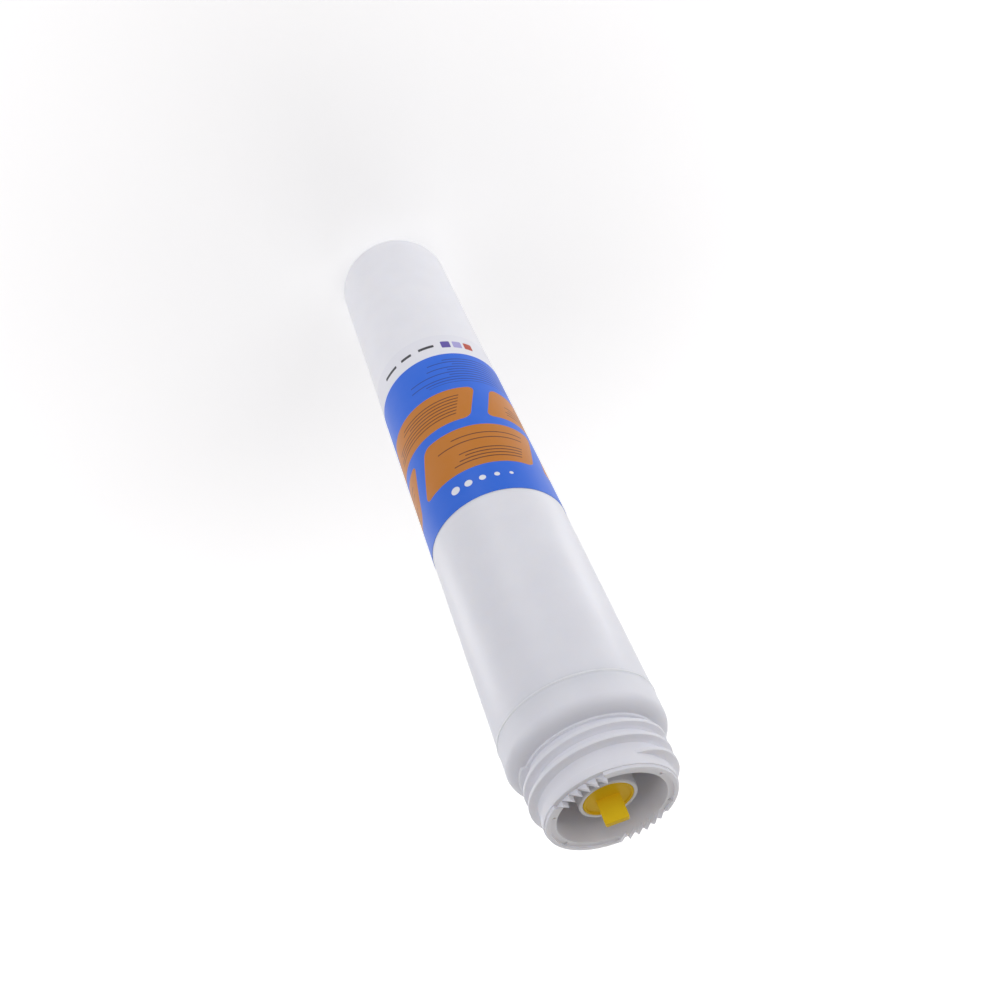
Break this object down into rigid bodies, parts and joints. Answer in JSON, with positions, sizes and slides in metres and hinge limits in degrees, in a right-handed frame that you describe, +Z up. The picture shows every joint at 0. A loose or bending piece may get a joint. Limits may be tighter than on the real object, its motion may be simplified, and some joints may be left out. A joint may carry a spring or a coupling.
{
  "type": "water softening filter cartridge",
  "caption": "Slim cylindrical water softening cartridge with a threaded, toothed neck, a cup with a central outlet boss, a pull-out shipping plug and a packed resin bed inside.",
  "frame": {"origin": "middle of the flat foot that the cartridge stands on", "axes": "+Z up along the cartridge's axis, towards the screw neck; the two groups of rim teeth lie at +Y and -Y"},
  "size_m": [0.0615, 0.0614, 0.3665],
  "materials": {
    "white_plastic": "satin moulded",
    "yellow_plastic": "semi-gloss moulded",
    "label_film": "glossy printed film",
    "grey_plastic": "satin moulded",
    "black_rubber": "matt",
    "open_foam": "open-cell",
    "white_felt": "felted",
    "nylon_screen": "woven screen",
    "amber_resin": "packed beads"
  },
  "bodies": {
    "cartridge": {"sump_shell": "white_plastic", "head_cap": "white_plastic", "label": "label_film", "riser_tube": "grey_plastic", "riser_seal": "black_rubber", "top_plate": "grey_plastic", "top_plate_seal": "black_rubber", "foam_spacer": "open_foam", "top_pad": "white_felt", "top_mesh": "nylon_screen", "resin_bed": "amber_resin", "bottom_mesh": "nylon_screen", "bottom_pad": "white_felt", "bottom_plate": "grey_plastic"},
    "plug": {"shipping_plug": "yellow_plastic"}
  },
  "joints": [
    {"name": "plug_pull", "type": "slide", "parent": "cartridge", "child": "plug", "axis": [0, 0, 1], "range_m": [0, 0.04]}
  ]
}
